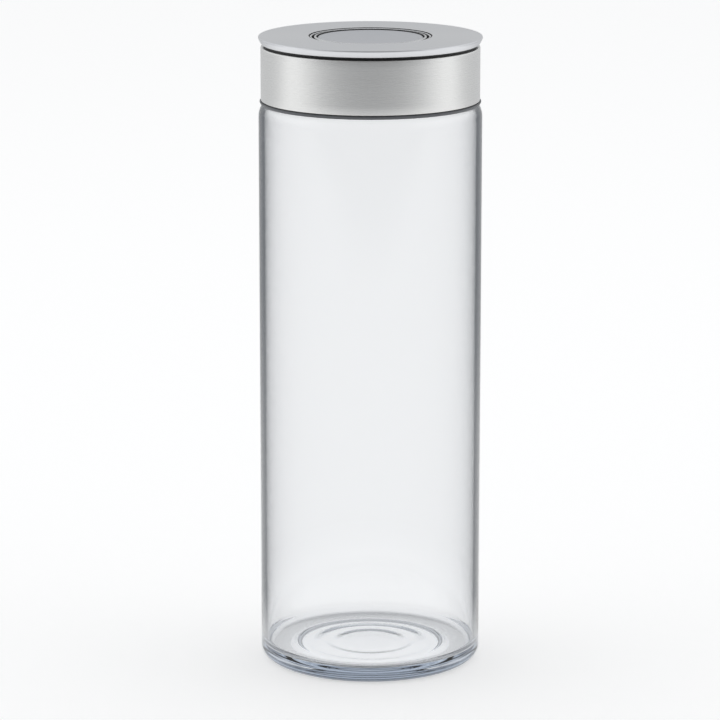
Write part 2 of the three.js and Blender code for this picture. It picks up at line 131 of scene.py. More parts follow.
def make_floor():
    bpy.ops.object.select_all(action="DESELECT")
    bpy.ops.mesh.primitive_plane_add(size=floor_size, location=(0, 0, 0))
    floor = bpy.context.object
    floor.name = "floor"
    paint = bpy.data.materials.new("pale_floor")
    paint.use_nodes = True
    tree = paint.node_tree
    shader = tree.nodes["Principled BSDF"]
    shader.inputs["Roughness"].default_value = 0.8
    shader.inputs["Specular IOR Level"].default_value = 0.1
    shader.inputs["Emission Color"].default_value = (1, 1, 1, 1)
    shader.inputs["Base Color"].default_value = (floor_white, floor_white, floor_white, 1)
    place = tree.nodes.new("ShaderNodeTexCoord")
    split = tree.nodes.new("ShaderNodeSeparateXYZ")
    link(tree, place, "Object", split, "Vector")
    away = tree.nodes.new("ShaderNodeVectorMath")
    away.operation = "LENGTH"
    link(tree, place, "Object", away, "Vector")
    # Emission: an even glow over the whole floor, plus painted light under the jar in its shadow
    even_glow_and_painted_light = ramp_between(
        tree, away, "Value", painted_light_reach, (floor_glow + painted_light_under_jar, floor_glow))
    link(tree, even_glow_and_painted_light, "Result", shader, "Emission Strength")
    # Painted reflection: dark grey emission shown instead of the floor to mirrored light, at the
    # glass's edges and in front and behind
    painted_reflection = tree.nodes.new("ShaderNodeEmission")
    painted_reflection.inputs["Color"].default_value = (*painted_reflection_grey, 1)
    clear_of_base = ramp_between(tree, away, "Value", painted_edge_reflection_reach, (0, 1))
    edges = product(tree, mirrored_in_glass(tree), "Value", clear_of_base, "Result")
    behind = ramp_between(tree, split, "Y", back_painted_reflection_reach, (0, back_painted_reflection))
    before = ramp_between(tree, split, "Y", front_painted_reflection_reach, (front_painted_reflection, 0))
    painted_reflection_zones = tree.nodes.new("ShaderNodeMath")
    painted_reflection_zones.operation = "ADD"
    link(tree, behind, "Result", painted_reflection_zones, 0)
    link(tree, before, "Result", painted_reflection_zones, 1)
    sides = product(tree, at_least_once(tree, "Glossy"), "Result", painted_reflection_zones, "Value")
    seen = tree.nodes.new("ShaderNodeMath")
    seen.operation = "MAXIMUM"
    link(tree, edges, "Value", seen, 0)
    link(tree, sides, "Value", seen, 1)
    choose = tree.nodes.new("ShaderNodeMixShader")
    link(tree, seen, "Value", choose, "Fac")
    tree.links.new(shader.outputs["BSDF"], choose.inputs[1])
    tree.links.new(painted_reflection.outputs["Emission"], choose.inputs[2])
    link(tree, choose, "Shader", tree.nodes["Material Output"], "Surface")
    floor.data.materials.append(paint)


def make_surround():
    world = bpy.data.worlds.new("studio")
    bpy.context.scene.world = world
    world.use_nodes = True
    tree = world.node_tree
    backdrop = tree.nodes["Background"]
    place = tree.nodes.new("ShaderNodeTexCoord")
    split = tree.nodes.new("ShaderNodeSeparateXYZ")
    link(tree, place, "Generated", split, "Vector")
    spread = tree.nodes.new("ShaderNodeMapRange")
    spread.inputs["From Min"].default_value = -1.0
    spread.inputs["From Max"].default_value = 1.0
    link(tree, split, "Y", spread, "Value")
    ramp = tree.nodes.new("ShaderNodeValToRGB")
    link(tree, spread, "Result", ramp, "Fac")
    stops = ramp.color_ramp
    stops.interpolation = "EASE"
    first, *others = surround_greys
    for stop, (position, grey) in zip(stops.elements, (first, others[-1])):
        stop.position = position
        stop.color = (grey, grey * 1.01, grey * 1.02, 1)
    for position, grey in others[:-1]:
        stop = stops.elements.new(position)
        stop.color = (grey, grey * 1.01, grey * 1.02, 1)
    # Painted reflection: low down, the surround turns dark grey for light mirrored inside the
    # glass
    level = ramp_between(tree, split, "Z", surround_painted_reflection_reach, (1, 0))
    seen = product(tree, mirrored_in_glass(tree), "Value", level, "Result")
    painted_reflection = tree.nodes.new("ShaderNodeMix")
    painted_reflection.data_type = "RGBA"
    link(tree, seen, "Value", painted_reflection, "Factor")
    tree.links.new(ramp.outputs["Color"], painted_reflection.inputs[6])
    painted_reflection.inputs[7].default_value = (*painted_reflection_grey, 1)
    tree.links.new(painted_reflection.outputs[2], backdrop.inputs["Color"])
    strength = ramp_between(
        tree, split, "Z", overhead_reach,
        (surround_strength, surround_strength * overhead_dimming))
    link(tree, strength, "Result", backdrop, "Strength")


def aim_at(thing, place, target):
    thing.location = place
    thing.rotation_euler = (Vector(target) - thing.location).to_track_quat("-Z", "Y").to_euler()


def make_softbox():
    lamp = bpy.data.lights.new("top_softbox", "AREA")
    lamp.shape = "RECTANGLE"
    lamp.size = lamp.size_y = softbox_size
    lamp.energy = softbox_power
    box = bpy.data.objects.new("top_softbox", lamp)
    bpy.context.collection.objects.link(box)
    aim_at(box, softbox_place, softbox_aim)


def make_camera():
    camera = bpy.data.objects.new("camera", bpy.data.cameras.new("camera"))
    bpy.context.collection.objects.link(camera)
    aim_at(camera, camera_place, camera_target)
    camera.data.lens = camera_lens
    camera.data.clip_end = 60
    bpy.context.scene.camera = camera


make_floor()
make_surround()
make_softbox()
make_camera()
bpy.context.scene.view_settings.view_transform = "Standard"


# ---- Glass jar ----------------------------------------------------------------------------
# One piece of clear glass, pressed thick at the base and blown thin up the wall. The underside
# is pushed up in the middle, with two soft rings, and the shoulder turns in to a neck with a
# fire-polished rim.
glass_tint = (0.57, 0.69, 0.85)
glass_density = 13.0


def arc(centre_r, centre_z, radius, start, end, steps):
    """Points on an arc of a half section, from one angle to another, in degrees."""
    points = []
    for i in range(steps + 1):
        angle = math.radians(start + (end - start) * i / steps)
        points.append((centre_r + radius * math.cos(angle), centre_z + radius * math.sin(angle)))
    return points


def turn(name, outline, sides=192, smooth=35):
    """A turned piece: a circle is extruded from point to point of its half section.

    The outline is a list of (radius, height). It closes on itself as a ring, or begins and
    ends on the axis.
    """
    on_axis = outline[0][0] == 0
    points = outline[1:-1] if on_axis else outline
    bpy.ops.object.select_all(action="DESELECT")
    first_r, first_z = points[0]
    bpy.ops.mesh.primitive_circle_add(
        vertices=sides, radius=first_r * MM, fill_type="NOTHING", location=(0, 0, first_z * MM))
    piece = bpy.context.object
    piece.name = name
    bpy.ops.object.transform_apply(location=True, rotation=False, scale=False)
    bpy.ops.object.mode_set(mode="EDIT")
    bpy.ops.mesh.select_all(action="SELECT")
    if on_axis:
        bpy.ops.mesh.extrude_region_move()
        bpy.ops.transform.translate(value=(0, 0, (outline[0][1] - first_z) * MM))
        bpy.ops.mesh.merge(type="CENTER")
        bpy.ops.mesh.select_all(action="DESELECT")
        bpy.ops.mesh.select_non_manifold()
    here_r, here_z = first_r, first_z
    for r, z in points[1:]:
        bpy.ops.mesh.extrude_region_move()
        bpy.ops.transform.translate(value=(0, 0, (z - here_z) * MM))
        grow = r / here_r
        bpy.ops.transform.resize(value=(grow, grow, 1), center_override=(0, 0, z * MM))
        here_r, here_z = r, z
    if on_axis:
        bpy.ops.mesh.extrude_region_move()
        bpy.ops.transform.translate(value=(0, 0, (outline[-1][1] - here_z) * MM))
        bpy.ops.mesh.merge(type="CENTER")
    else:
        bpy.ops.mesh.select_all(action="DESELECT")
        bpy.ops.mesh.select_non_manifold()
        bpy.ops.mesh.bridge_edge_loops()
    bpy.ops.mesh.select_all(action="SELECT")
    bpy.ops.mesh.normals_make_consistent(inside=False)
    bpy.ops.object.mode_set(mode="OBJECT")
    bpy.ops.object.shade_smooth_by_angle(angle=math.radians(smooth))
    return piece


def new_paint(name, base, roughness, metallic=0.0):
    """A material on one Principled shader, with its plain numbers set."""
    paint = bpy.data.materials.new(name)
    paint.use_nodes = True
    shader = paint.node_tree.nodes["Principled BSDF"]
    shader.inputs["Base Color"].default_value = (*base, 1)
    shader.inputs["Roughness"].default_value = roughness
    shader.inputs["Metallic"].default_value = metallic
    return paint, paint.node_tree, shader


def jar_glass():
    paint, tree, shader = new_paint("jar_glass", (1, 1, 1), 0.0)
    shader.inputs["Transmission Weight"].default_value = 1.0
    shader.inputs["IOR"].default_value = 1.5
    depth = tree.nodes.new("ShaderNodeVolumeAbsorption")
    depth.inputs["Color"].default_value = (*glass_tint, 1)
    depth.inputs["Density"].default_value = glass_density
    link(tree, depth, "Volume", tree.nodes["Material Output"], "Volume")
    place = tree.nodes.new("ShaderNodeTexCoord")
    draw = tree.nodes.new("ShaderNodeMapping")
    draw.inputs["Scale"].default_value = (26, 26, 5)
    link(tree, place, "Object", draw, "Vector")
    ripple = tree.nodes.new("ShaderNodeTexNoise")
    ripple.inputs["Scale"].default_value = 1.0
    ripple.inputs["Detail"].default_value = 1.0
    link(tree, draw, "Vector", ripple, "Vector")
    wave = tree.nodes.new("ShaderNodeBump")
    wave.inputs["Strength"].default_value = 0.5
    wave.inputs["Distance"].default_value = 0.12 * MM
    link(tree, ripple, "Fac", wave, "Height")
    link(tree, wave, "Normal", shader, "Normal")
    return paint


def make_jar():
    low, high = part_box("glass_jar")
    body_r = high[0] / MM
    rim_top = high[2] / MM
    wall = 2.4
    corner = 5.25
    floor_thick = 6.6
    floor_corner = 4.0
    shoulder = 9.0
    shoulder_z = 242.6
    neck_r = body_r - 4.5
    bore_r = neck_r - 2.3
    turn_r = body_r - shoulder
    inner_shoulder = shoulder - wall
    outer_end = math.degrees(math.acos((neck_r - turn_r) / shoulder))
    inner_end = math.degrees(math.acos((bore_r - turn_r) / inner_shoulder))
    rim = (neck_r - bore_r) / 2
    inner_floor_r = body_r - wall - floor_corner
    punt_r, punt_edge, punt_rise, punt_round, punt_steps = 30.2, 1.45, 0.75, 0.6, 30
    ring_start, ring_count, ring_depth = 0.4, 2, 0.17
    outline = [(0, punt_edge + punt_rise)]
    for i in range(1, punt_steps - 1):
        share = i / punt_steps
        along = max(0.0, share - ring_start) / (1 - ring_start)
        ring = ring_depth * (1 - math.cos(2 * math.pi * ring_count * along)) / 2
        outline.append((punt_r * share, punt_edge + punt_rise * (1 - share ** 2) - ring))
    outline += arc(punt_r, punt_edge - punt_round, punt_round, 88, 25, 5)
    outline += [(31.4, 0.5), (32.4, 0.2), (33.8, 0.05), (35.5, 0)]
    outline += arc(body_r - corner, corner, corner, -90, 0, 18)
    outline += [(body_r, z) for z in range(20, 240, 20)]
    outline += arc(turn_r, shoulder_z, shoulder, 0, outer_end - 6, 12)
    outline += [(neck_r + 0.12, shoulder_z + shoulder * 0.88), (neck_r, shoulder_z + shoulder)]
    outline += arc(neck_r - rim, rim_top - rim, rim, 0, 180, 16)
    outline += arc(turn_r, shoulder_z, inner_shoulder, inner_end, 0, 12)
    outline += [(body_r - wall, z) for z in range(220, 20, -20)]
    outline += arc(inner_floor_r, floor_thick + floor_corner, floor_corner, 0, -90, 20)
    outline += [(36, floor_thick + 0.06), (28, floor_thick + 0.2), (20, floor_thick + 0.36)]
    outline += [(12, floor_thick + 0.5), (5, floor_thick + 0.58), (0, floor_thick + 0.6)]
    jar = turn("clear_glass_jar", outline, sides=256)
    jar.data.materials.append(jar_glass())
    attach(jar, "jar")
    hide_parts("glass_jar")


make_jar()


# ---- Lid housing --------------------------------------------------------------------------
# The black moulding that everything in the lid hangs on. Only its edge shows, in the shadow
# gap between the collar and the top plate.
def moulded_plastic(name, base, roughness, grain=0.02):
    """Moulded plastic: fine spark-eroded grain and a little unevenness in its gloss."""
    paint, tree, shader = new_paint(name, base, roughness)
    place = tree.nodes.new("ShaderNodeTexCoord")
    speckle = tree.nodes.new("ShaderNodeTexNoise")
    speckle.inputs["Scale"].default_value = 1800
    speckle.inputs["Detail"].default_value = 3
    link(tree, place, "Object", speckle, "Vector")
    bump = tree.nodes.new("ShaderNodeBump")
    bump.inputs["Strength"].default_value = 0.25
    bump.inputs["Distance"].default_value = grain * MM
    link(tree, speckle, "Fac", bump, "Height")
    link(tree, bump, "Normal", shader, "Normal")
    cloud = tree.nodes.new("ShaderNodeTexNoise")
    cloud.inputs["Scale"].default_value = 60
    link(tree, place, "Object", cloud, "Vector")
    gloss = tree.nodes.new("ShaderNodeMapRange")
    gloss.inputs["To Min"].default_value = roughness - 0.06
    gloss.inputs["To Max"].default_value = roughness + 0.06
    link(tree, cloud, "Fac", gloss, "Value")
    link(tree, gloss, "Result", shader, "Roughness")
    tone = tree.nodes.new("ShaderNodeMapRange")
    tone.inputs["To Min"].default_value = 0.94
    tone.inputs["To Max"].default_value = 1.06
    link(tree, cloud, "Fac", tone, "Value")
    tint = tree.nodes.new("ShaderNodeMix")
    tint.data_type = "RGBA"
    tint.blend_type = "MULTIPLY"
    tint.inputs["Factor"].default_value = 1.0
    tint.inputs["A"].default_value = (*base, 1)
    link(tree, tone, "Result", tint, "B")
    link(tree, tint, "Result", shader, "Base Color")
    return paint


def soften(piece, width):
    """Rounds a piece's sharp edges, as a mould does."""
    bevel = piece.modifiers.new("edges", "BEVEL")
    bevel.width = width * MM
    bevel.segments = 2
    bevel.limit_method = "ANGLE"
    bevel.angle_limit = math.radians(40)
    bevel.use_clamp_overlap = True
    bpy.context.view_layer.objects.active = piece
    bpy.ops.object.modifier_apply(modifier="edges")


def pin(radius, bottom, top, x, y, sides=48):
    """A plain upright cylinder, to be joined to a piece or bored out of it."""
    bpy.ops.object.select_all(action="DESELECT")
    bpy.ops.mesh.primitive_cylinder_add(
        vertices=sides, radius=radius * MM, depth=(top - bottom) * MM,
        location=(x * MM, y * MM, (bottom + top) / 2 * MM))
    bpy.ops.object.transform_apply(location=True, rotation=False, scale=False)
    return bpy.context.object


def slab(width, depth, bottom, top, x=0.0, y=0.0):
    """A plain block, to be joined to a piece or cut out of it."""
    bpy.ops.object.select_all(action="DESELECT")
    bpy.ops.mesh.primitive_cube_add(size=1, location=(x * MM, y * MM, (bottom + top) / 2 * MM))
    block = bpy.context.object
    block.scale = (width * MM, depth * MM, (top - bottom) * MM)
    bpy.ops.object.transform_apply(location=True, rotation=False, scale=True)
    return block


def shape_with(piece, tools, operation, smooth=35):
    """Joins tools to a piece, or cuts them out of it, and takes them away."""
    for tool in tools:
        change = piece.modifiers.new("shape", "BOOLEAN")
        change.operation = operation
        change.solver = "EXACT"
        change.object = tool
        bpy.context.view_layer.objects.active = piece
        bpy.ops.object.modifier_apply(modifier="shape")
        bpy.data.objects.remove(tool)
    bpy.ops.object.select_all(action="DESELECT")
    piece.select_set(True)
    bpy.context.view_layer.objects.active = piece
    bpy.ops.object.shade_smooth_by_angle(angle=math.radians(smooth))


def ring_of_places(count, radius, first_degrees):
    """Places round a circle in plan."""
    places = []
    for i in range(count):
        angle = math.radians(first_degrees + 360 * i / count)
        places.append((radius * math.cos(angle), radius * math.sin(angle)))
    return places


black_moulding = moulded_plastic("black_moulding", (0.012, 0.012, 0.013), 0.5)
cover_posts = ring_of_places(4, 29.5, 45)


def make_housing():
    low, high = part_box("lid_housing")
    skirt, foot, top = high[0] / MM, low[2] / MM, high[2] / MM
    skirt_bore = skirt - 1.1
    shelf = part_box("collar_band")[1][2] / MM - 0.6
    deck_r, deck_foot = skirt - 0.9, top - 2.0
    bond_r, guide, guide_outer = 26.7, 25.0, 26.6
    guide_top = top - 1.0
    plug, plug_bore = 41.3, 39.7
    plug_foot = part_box("mouth_seal")[1][2] / MM + 0.3
    post_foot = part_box("plug_base")[1][2] / MM
    guide_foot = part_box("plug_base")[1][2] / MM + 9.6
    wiper_low, wiper_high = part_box("wiper_ring")
    groove_foot, groove_top = wiper_low[2] / MM - 0.3, wiper_high[2] / MM + 0.3
    outline = [
        (skirt_bore, foot), (skirt, foot), (skirt, shelf), (deck_r, shelf), (deck_r, top),
        (bond_r, top), (bond_r, guide_top), (guide, guide_top), (guide, groove_top),
        (guide + 0.9, groove_top), (guide + 0.9, groove_foot), (guide, groove_foot),
        (guide, guide_foot), (guide_outer, guide_foot), (guide_outer, deck_foot),
        (plug_bore, deck_foot), (plug_bore, plug_foot), (plug, plug_foot), (plug, deck_foot),
        (skirt_bore, deck_foot)]
    housing = turn("black_lid_housing", outline)
    soften(housing, 0.15)
    posts = [pin(3.2, post_foot, deck_foot + 0.5, x, y) for x, y in cover_posts]
    for post in posts:
        soften(post, 0.15)
    shape_with(housing, posts, "UNION")
    bores = [pin(2.3, post_foot + 1.8, top + 0.5, x, y) for x, y in cover_posts]
    bores += [pin(1.3, post_foot - 0.5, post_foot + 2.3, x, y, 32) for x, y in cover_posts]
    shape_with(housing, bores, "DIFFERENCE")
    housing.data.materials.append(black_moulding)
    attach(housing, "lid")
    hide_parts("lid_housing")


make_housing()


# ---- Steel collar -------------------------------------------------------------------------
# A rolled and welded band of stainless sheet round the housing's skirt, brushed round its
# length, with its top edge turned in and a small hem at its foot.
# Near-black painted shade, for thin rings in the gaps and grooves of the steel.
painted_gap_shade = (0.012, 0.012, 0.014, 1)


def lathe_brushed(name, base, roughness, pitch, depth, anisotropy=0.6, painted_shade_rings=()):
    """Steel brushed as it turned: fine scratches run round the axis.

    The pitch and depth are the scratches' size. Each of painted_shade_rings is the inner and outer
    radius of a ring painted near-black: painted shade in a gap or groove.
    """
    paint, tree, shader = new_paint(name, base, roughness, 1.0)
    shader.inputs["Anisotropic"].default_value = anisotropy
    shader.inputs["Anisotropic Rotation"].default_value = 0.25
    around = tree.nodes.new("ShaderNodeTangent")
    around.direction_type = "RADIAL"
    around.axis = "Z"
    link(tree, around, "Tangent", shader, "Tangent")
    place = tree.nodes.new("ShaderNodeTexCoord")
    stretch = tree.nodes.new("ShaderNodeMapping")
    stretch.inputs["Scale"].default_value = (4, 4, 1 / (pitch * MM))
    link(tree, place, "Object", stretch, "Vector")
    scratch = tree.nodes.new("ShaderNodeTexNoise")
    scratch.inputs["Scale"].default_value = 1.0
    scratch.inputs["Detail"].default_value = 4
    scratch.inputs["Roughness"].default_value = 0.7
    link(tree, stretch, "Vector", scratch, "Vector")
    bump = tree.nodes.new("ShaderNodeBump")
    bump.inputs["Strength"].default_value = 0.3
    bump.inputs["Distance"].default_value = depth * MM
    link(tree, scratch, "Fac", bump, "Height")
    link(tree, bump, "Normal", shader, "Normal")
    gloss = tree.nodes.new("ShaderNodeMapRange")
    gloss.inputs["To Min"].default_value = roughness - 0.05
    gloss.inputs["To Max"].default_value = roughness + 0.06
    link(tree, scratch, "Fac", gloss, "Value")
    link(tree, gloss, "Result", shader, "Roughness")
    # Painted shade: near-black rings in gaps and grooves, set by radius.
    if painted_shade_rings:
        flat = tree.nodes.new("ShaderNodeVectorMath")
        flat.operation = "MULTIPLY"
        flat.inputs[1].default_value = (1 / MM, 1 / MM, 0)
        link(tree, place, "Object", flat, 0)
        radius = tree.nodes.new("ShaderNodeVectorMath")
        radius.operation = "LENGTH"
        link(tree, flat, "Vector", radius, 0)
        colour = None
        for inner, outer in painted_shade_rings:
            band = tree.nodes.new("ShaderNodeMath")
            band.operation = "COMPARE"
            band.inputs[1].default_value = (inner + outer) / 2
            band.inputs[2].default_value = (outer - inner) / 2
            link(tree, radius, "Value", band, 0)
            painted_shade_mix = tree.nodes.new("ShaderNodeMix")
            painted_shade_mix.data_type = "RGBA"
            link(tree, band, "Value", painted_shade_mix, "Factor")
            if colour is None:
                painted_shade_mix.inputs[6].default_value = (*base, 1)
            else:
                tree.links.new(colour.outputs[2], painted_shade_mix.inputs[6])
            painted_shade_mix.inputs[7].default_value = painted_gap_shade
            colour = painted_shade_mix
        tree.links.new(colour.outputs[2], shader.inputs["Base Color"])
    return paint


def make_collar():
    low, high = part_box("collar_band")
    r, foot, top = high[0] / MM, low[2] / MM, high[2] / MM
    sheet, hem, top_round, turned_in = 0.6, 0.25, 0.6, 1.5
    outline = [(r - sheet, foot + 0.1), (r - sheet + 0.15, foot)]
    outline += arc(r - hem, foot + hem, hem, -90, 0, 6)
    outline += [(r, foot + rise) for rise in (4, 8, 12, 16, 20)]
    outline += arc(r - top_round, top - top_round, top_round, 0, 90, 10)
    outline += [(r - turned_in, top), (r - turned_in, top - sheet), (r - sheet, top - sheet)]
    collar = turn("steel_collar", outline)
    collar.data.materials.append(
        lathe_brushed("collar_steel", (0.82, 0.82, 0.81), 0.27, 0.16, 0.008))
    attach(collar, "lid")
    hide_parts("collar_band")


make_collar()


# ---- Grey shoulder ring -------------------------------------------------------------------
# Soft grey silicone: the bead that shows cushions the steel on the glass shoulder, and its
# tongue is gripped between the skirt and the neck.
def silicone(name, base, roughness):
    paint = moulded_plastic(name, base, roughness, 0.01)
    shader = paint.node_tree.nodes["Principled BSDF"]
    shader.inputs["Sheen Weight"].default_value = 0.15
    return paint


def make_shoulder_ring():
    low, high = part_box("shoulder_gasket")
    r, foot, tongue_top = high[0] / MM, low[2] / MM, high[2] / MM
    bead_top = foot + 1.3
    web_r, web_top = 46.6, bead_top + 1.4
    bore, tongue = 44.3, 45.2
    turn_r, turn_z, reach = r - 8.5, foot - 5.6, 9.3
    start = math.degrees(math.acos((bore - turn_r) / reach))
    end = math.degrees(math.asin((foot + 0.02 - turn_z) / reach))
    outline = [(r - 0.5, foot), (r - 0.3, foot + 0.3), (r - 0.1, foot + 0.65)]
    outline += arc(r - 0.3, bead_top - 0.3, 0.3, 0, 90, 6)
    outline += [(web_r, bead_top), (web_r, web_top - 0.2), (web_r - 0.2, web_top)]
    outline += [(tongue, web_top), (tongue, tongue_top - 0.15), (tongue - 0.15, tongue_top)]
    outline += [(bore, tongue_top)]
    outline += arc(turn_r, turn_z, reach, start, end, 12)
    ring = turn("grey_shoulder_ring", outline)
    ring.data.materials.append(grey_silicone)
    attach(ring, "lid")
    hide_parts("shoulder_gasket")


grey_silicone = silicone("grey_silicone", (0.10, 0.105, 0.115), 0.5)
make_shoulder_ring()


# ---- Top plate ----------------------------------------------------------------------------
# Pressed stainless plate, brushed round. Its rim turns down and draws in, so that it seems to
# float over the shadow gap. Its hole is rolled down round the button, inside a groove. The rolled
# lip and the groove are painted near-black: painted shade in the gap round the button.
# painted shade: near-black rings at the rolled lip and in the groove
plate_steel = lathe_brushed(
    "plate_steel", (0.76, 0.77, 0.79), 0.3, 0.14, 0.006, 0.7, ((25.2, 25.5), (26.1, 26.75)))


def make_top_plate():
    low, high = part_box("top_plate")
    r, foot, top = high[0] / MM, low[2] / MM, high[2] / MM
    sheet, rim_foot, rim_round = 0.8, r - 1.1, 0.45
    hole, roll, lip_drop, lip_round = 25.3, 1.4, 0.2, 0.6
    groove_in, groove_out, groove_depth = hole + 0.95, hole + 1.4, 0.6
    outline = [(rim_foot - sheet, foot + 0.15), (rim_foot - sheet + 0.15, foot)]
    outline += [(rim_foot - 0.15, foot), (rim_foot, foot + 0.15)]
    outline += [(r - 0.08, top - 1.0), (r, top - 0.75)]
    outline += arc(r - rim_round, top - rim_round, rim_round, 0, 90, 8)
    outline += [(46, top), (42, top), (38, top), (34, top), (30, top)]
    outline += [(groove_out, top), (groove_out - 0.05, top - groove_depth)]
    outline += [(groove_in, top - groove_depth), (groove_in - 0.1, top - lip_drop - 0.02)]
    outline += arc(hole + lip_round, top - lip_drop - lip_round, lip_round, 80, 180, 7)
    outline += [(hole, top - roll - 0.5), (hole + 0.7, top - roll - 0.5)]
    outline += [(hole + roll, top - sheet)]
    outline += [(r - 1.3, top - sheet)]
    plate = turn("steel_top_plate", outline)
    plate.data.materials.append(plate_steel)
    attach(plate, "lid")
    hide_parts("top_plate")


make_top_plate()


# ---- Button -------------------------------------------------------------------------------
# A turned steel bezel and, inside it, a slightly dished brushed disc, both carried by the
# plunger. The disc is bonded to it, and thin rings at the edges where the two meet are painted
# near-black: painted shade in the step between them.
def make_button_bezel():
    low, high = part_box("button_bezel")
    side_gap, outer_round, inner, inner_round = 0.2, 0.5, 23.3, 0.3
    r, foot, top = high[0] / MM - side_gap, low[2] / MM, high[2] / MM
    outline = [(inner, foot), (r, foot), (r, top - outer_round)]
    outline += arc(r - outer_round, top - outer_round, outer_round, 0, 90, 8)[1:]
    outline += arc(inner + inner_round, top - inner_round, inner_round, 90, 180, 6)
    bezel = turn("steel_button_bezel", outline)
    # painted shade: a near-black ring at the bezel's inner edge
    bezel.data.materials.append(lathe_brushed(
        "bezel_steel", (0.68, 0.69, 0.70), 0.22, 0.12, 0.006, painted_shade_rings=((23.2, 23.5),)))
    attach(bezel, "button")
    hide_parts("button_bezel")


def make_button_disc():
    low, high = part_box("button_disc")
    side_gap, dish = 0.15, 0.4
    r, foot, top = high[0] / MM - side_gap, low[2] / MM, high[2] / MM
    outline = [(0, foot), (10, foot), (r - 0.1, foot), (r, foot + 0.1)]
    outline += [(r, top - 0.4), (r - 0.12, top - 0.38), (r - 0.4, top - 0.05), (r - 0.55, top)]
    for share in (0.93, 0.8, 0.65, 0.5, 0.35, 0.2, 0.1):
        outline.append((r * share, top - dish * (1 - share ** 2)))
    outline.append((0, top - dish))
    disc = turn("steel_button_disc", outline)
    # painted shade: a near-black ring at the disc's edge
    disc.data.materials.append(
        lathe_brushed(
            "disc_steel", (0.63, 0.645, 0.68), 0.36, 0.14, 0.006, 0.35, ((22.85, 23.3),)))
    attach(disc, "button")
    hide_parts("button_disc")


make_button_bezel()
make_button_disc()


# ---- Foam bonds ---------------------------------------------------------------------------
# Die-cut black foam, sticky on both faces: a ring under the top plate and a disc under the
# button's steel.
def open_foam():
    paint, tree, shader = new_paint("bond_foam", (0.02, 0.02, 0.022), 0.9)
    place = tree.nodes.new("ShaderNodeTexCoord")
    cells = tree.nodes.new("ShaderNodeTexVoronoi")
    cells.inputs["Scale"].default_value = 4000
    link(tree, place, "Object", cells, "Vector")
    dents = tree.nodes.new("ShaderNodeBump")
    dents.inputs["Strength"].default_value = 0.6
    dents.inputs["Distance"].default_value = 0.05 * MM
    link(tree, cells, "Distance", dents, "Height")
    link(tree, dents, "Normal", shader, "Normal")
    tone = tree.nodes.new("ShaderNodeMix")
    tone.data_type = "RGBA"
    tone.inputs[6].default_value = (0.010, 0.010, 0.011, 1)
    tone.inputs[7].default_value = (0.035, 0.035, 0.038, 1)
    link(tree, cells, "Distance", tone, "Factor")
    tree.links.new(tone.outputs[2], shader.inputs["Base Color"])
    return paint


def make_bonds():
    low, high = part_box("plate_bond")
    r, foot, top = high[0] / MM, low[2] / MM, high[2] / MM
    hole = 26.7
    ring = turn("plate_bond_ring", [
        (hole, foot), (r, foot), (r - 0.06, (foot + top) / 2), (r, top), (hole, top),
        (hole + 0.06, (foot + top) / 2)])
    ring.data.materials.append(foam)
    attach(ring, "lid")
    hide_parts("plate_bond")
    low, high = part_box("button_bond")
    r, foot, top = high[0] / MM, low[2] / MM, high[2] / MM
    disc = turn("button_bond_disc", [
        (0, foot), (8, foot), (16, foot), (r, foot), (r - 0.06, (foot + top) / 2), (r, top),
        (16, top), (8, top), (0, top)])
    disc.data.materials.append(foam)
    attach(disc, "button")
    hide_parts("button_bond")


foam = open_foam()
make_bonds()


# ---- Plunger ------------------------------------------------------------------------------
# Black moulded cup that carries the button and slides in the housing's guide. It has three
# bosses for the driver's screws and a socket for the heart cam.
driver_posts = ring_of_places(3, 20.3, 90)


def make_plunger():
    low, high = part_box("plunger")
    r, foot, plateau = high[0] / MM, low[2] / MM, high[2] / MM
    bore = r - 1.8
    ceiling = plateau - 2.0
    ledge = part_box("button_bezel")[0][2] / MM
    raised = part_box("button_disc")[1][0] / MM
    outline = [
        (0, ceiling), (8, ceiling), (bore, ceiling), (bore, foot), (r, foot), (r, ledge),
        (raised, ledge), (raised, plateau), (8, plateau), (0, plateau)]
    cup = turn("black_plunger", outline)
    soften(cup, 0.15)
    bosses = [pin(2.8, foot, foot + 8, x, y) for x, y in driver_posts]
    for boss in bosses:
        soften(boss, 0.12)
    socket = slab(9.6, 5.6, ceiling - 4, ceiling + 0.5)
    soften(socket, 0.2)
    shape_with(cup, bosses + [socket], "UNION")
    pocket = slab(7.6, 3.6, ceiling - 4.5, ceiling)
    pilots = [pin(1.3, foot - 0.5, foot + 6, x, y, 32) for x, y in driver_posts]
    shape_with(cup, [pocket] + pilots, "DIFFERENCE")
    cup.data.materials.append(black_moulding)
    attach(cup, "button")
    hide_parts("plunger")


make_plunger()


# ---- Wiper ring ---------------------------------------------------------------------------
# Thin silicone ring in the guide's groove. Its rounded lip keeps dust off the plunger.
def make_wiper():
    low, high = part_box("wiper_ring")
    r, foot, top = high[0] / MM, low[2] / MM, high[2] / MM
    inner, middle = 24.7, (foot + top) / 2
    outline = [(inner + 0.35, foot), (r - 0.15, foot)]
    outline += arc(r - 0.15, foot + 0.15, 0.15, -60, 0, 3)
    outline += arc(r - 0.15, top - 0.15, 0.15, 0, 90, 4)
    outline += [(inner + 0.35, top)]
    outline += arc(inner + 0.3, middle, 0.3, 130, 230, 6)
    ring = turn("wiper_ring_moulded", outline)
    ring.data.materials.append(grey_silicone)
    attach(ring, "lid")
    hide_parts("wiper_ring")


make_wiper()


# ---- Plug base ----------------------------------------------------------------------------
# White moulded cover under the plug, held by four screws. It has a lip for the seal's foot,
# a ring that centres the spring and a socket for the latch wire.
white_moulding = moulded_plastic("white_moulding", (0.72, 0.72, 0.70), 0.4)
wire_y = -5.0


